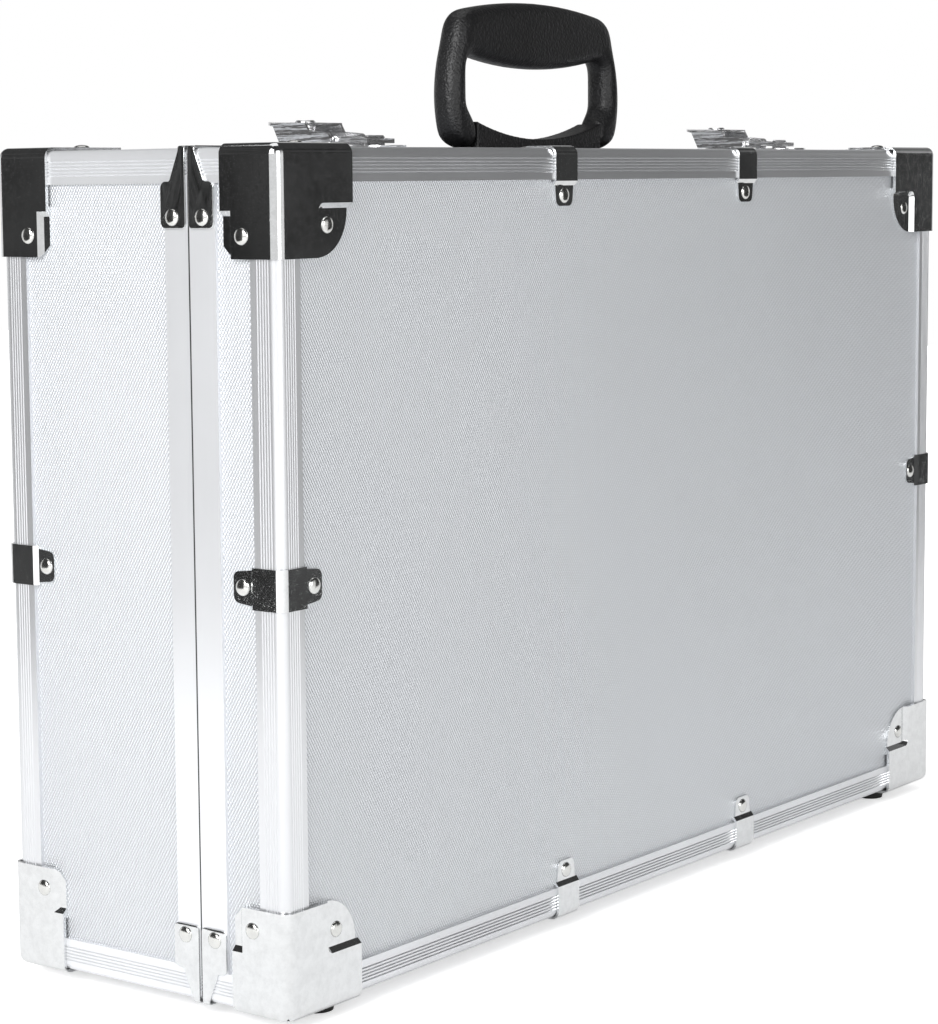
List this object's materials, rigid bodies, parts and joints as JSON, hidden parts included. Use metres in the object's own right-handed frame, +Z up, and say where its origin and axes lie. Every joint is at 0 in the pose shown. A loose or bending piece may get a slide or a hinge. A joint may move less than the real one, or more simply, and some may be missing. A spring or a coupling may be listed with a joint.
{
  "type": "charging case",
  "caption": "Aluminium-edged charging case standing upright, with a lid held by two draw latches, a folding handle, rubber feet and a tray of device pockets inside.",
  "frame": {"origin": "middle of the case in plan, on the surface its feet stand on", "axes": "+X along the length to the right seen from the lid, +Y from the lid to the base, +Z up towards the handle"},
  "size_m": [0.5658, 0.1552, 0.427],
  "materials": {
    "edging_aluminium": "satin extruded aluminium with fine ribs",
    "panel_silver": "silver laminate with a fine diamond emboss over board",
    "bright_plate": "bright plated pressed steel",
    "rivet_steel": "plated steel",
    "foot_rubber": "matt black rubber",
    "hinge_steel": "plated steel",
    "latch_chrome": "bright chrome",
    "handle_black": "black plastic with a leather grain",
    "tray_black": "black board",
    "contact_green": "circuit board",
    "contact_black": "black moulded plastic",
    "power_metal": "dark powder coat",
    "lamp_lens": "green lens",
    "foam_grey": "soft foam"
  },
  "bodies": {
    "case": {"base_back_panel": "panel_silver", "base_top_panel": "panel_silver", "base_bottom_panel": "panel_silver", "base_left_panel": "panel_silver", "base_right_panel": "panel_silver", "base_frame_top": "edging_aluminium", "base_frame_bottom": "edging_aluminium", "base_frame_left": "edging_aluminium", "base_frame_right": "edging_aluminium", "base_rim_long": "edging_aluminium", "base_rim_short": "edging_aluminium", "base_side_angles": "edging_aluminium", "base_corners": "bright_plate", "base_edge_clips": "bright_plate", "base_rim_clips": "bright_plate", "base_rivets": "rivet_steel", "base_feet": "foot_rubber", "hinge_base_leaves": "hinge_steel", "hinge_pins": "hinge_steel", "handle_bracket": "handle_black", "handle_pins": "rivet_steel", "latch_bases": "latch_chrome", "lever_pins": "latch_chrome", "tray_frame": "tray_black", "tray_dividers": "tray_black", "contact_board": "contact_green", "contact_blocks": "contact_black", "power_unit": "power_metal", "control_panel": "power_metal", "mains_inlet": "contact_black", "status_lamps": "lamp_lens"},
    "lid": {"lid_face_panel": "panel_silver", "lid_top_panel": "panel_silver", "lid_bottom_panel": "panel_silver", "lid_left_panel": "panel_silver", "lid_right_panel": "panel_silver", "lid_frame_top": "edging_aluminium", "lid_frame_bottom": "edging_aluminium", "lid_frame_left": "edging_aluminium", "lid_frame_right": "edging_aluminium", "lid_rim_long": "edging_aluminium", "lid_rim_short": "edging_aluminium", "lid_side_angles": "edging_aluminium", "lid_corners": "bright_plate", "lid_edge_clips": "bright_plate", "lid_rim_clips": "bright_plate", "lid_rivets": "rivet_steel", "lid_feet": "foot_rubber", "hinge_lid_leaves": "hinge_steel", "latch_catches": "latch_chrome", "lid_foam": "foam_grey"},
    "handle": {"handle": "handle_black"},
    "power_rocker": {"power_rocker": "contact_black"},
    "lever_left": {"lever_left": "latch_chrome"},
    "bail_left": {"bail_left": "latch_chrome"},
    "lock_left": {"lock_left": "latch_chrome"},
    "lever_right": {"lever_right": "latch_chrome"},
    "bail_right": {"bail_right": "latch_chrome"},
    "lock_right": {"lock_right": "latch_chrome"}
  },
  "joints": [
    {"name": "lid_hinge", "type": "hinge", "parent": "case", "child": "lid", "pos_m": [0, -0.03, 0.004], "axis": [1, 0, 0], "range_deg": [0, 95]},
    {"name": "handle_fold", "type": "hinge", "parent": "case", "child": "handle", "pos_m": [0, -0.0015, 0.3645], "axis": [1, 0, 0], "range_deg": [-80, 80]},
    {"name": "power_switch", "type": "hinge", "parent": "case", "child": "power_rocker", "pos_m": [0.219, -0.0245, 0.1165], "axis": [1, 0, 0], "range_deg": [0, 14]},
    {"name": "latch_left", "type": "hinge", "parent": "case", "child": "lever_left", "pos_m": [-0.1727, -0.024, 0.3607], "axis": [1, 0, 0], "range_deg": [0, 100]},
    {"name": "bail_swing_left", "type": "hinge", "parent": "lever_left", "child": "bail_left", "pos_m": [-0.1727, -0.015, 0.3615], "axis": [1, 0, 0], "range_deg": [-90, 0]},
    {"name": "key_turn_left", "type": "hinge", "parent": "lever_left", "child": "lock_left", "pos_m": [-0.1727, -0.003, 0.3645], "axis": [0, 0, 1], "range_deg": [0, 90]},
    {"name": "latch_right", "type": "hinge", "parent": "case", "child": "lever_right", "pos_m": [0.1727, -0.024, 0.3607], "axis": [1, 0, 0], "range_deg": [0, 100]},
    {"name": "bail_swing_right", "type": "hinge", "parent": "lever_right", "child": "bail_right", "pos_m": [0.1727, -0.015, 0.3615], "axis": [1, 0, 0], "range_deg": [-90, 0]},
    {"name": "key_turn_right", "type": "hinge", "parent": "lever_right", "child": "lock_right", "pos_m": [0.1727, -0.003, 0.3645], "axis": [0, 0, 1], "range_deg": [0, 90]}
  ],
  "couplings": [
    {"joint": "bail_swing_left", "follows": "latch_left", "ratio": -0.9},
    {"joint": "bail_swing_right", "follows": "latch_right", "ratio": -0.9}
  ]
}
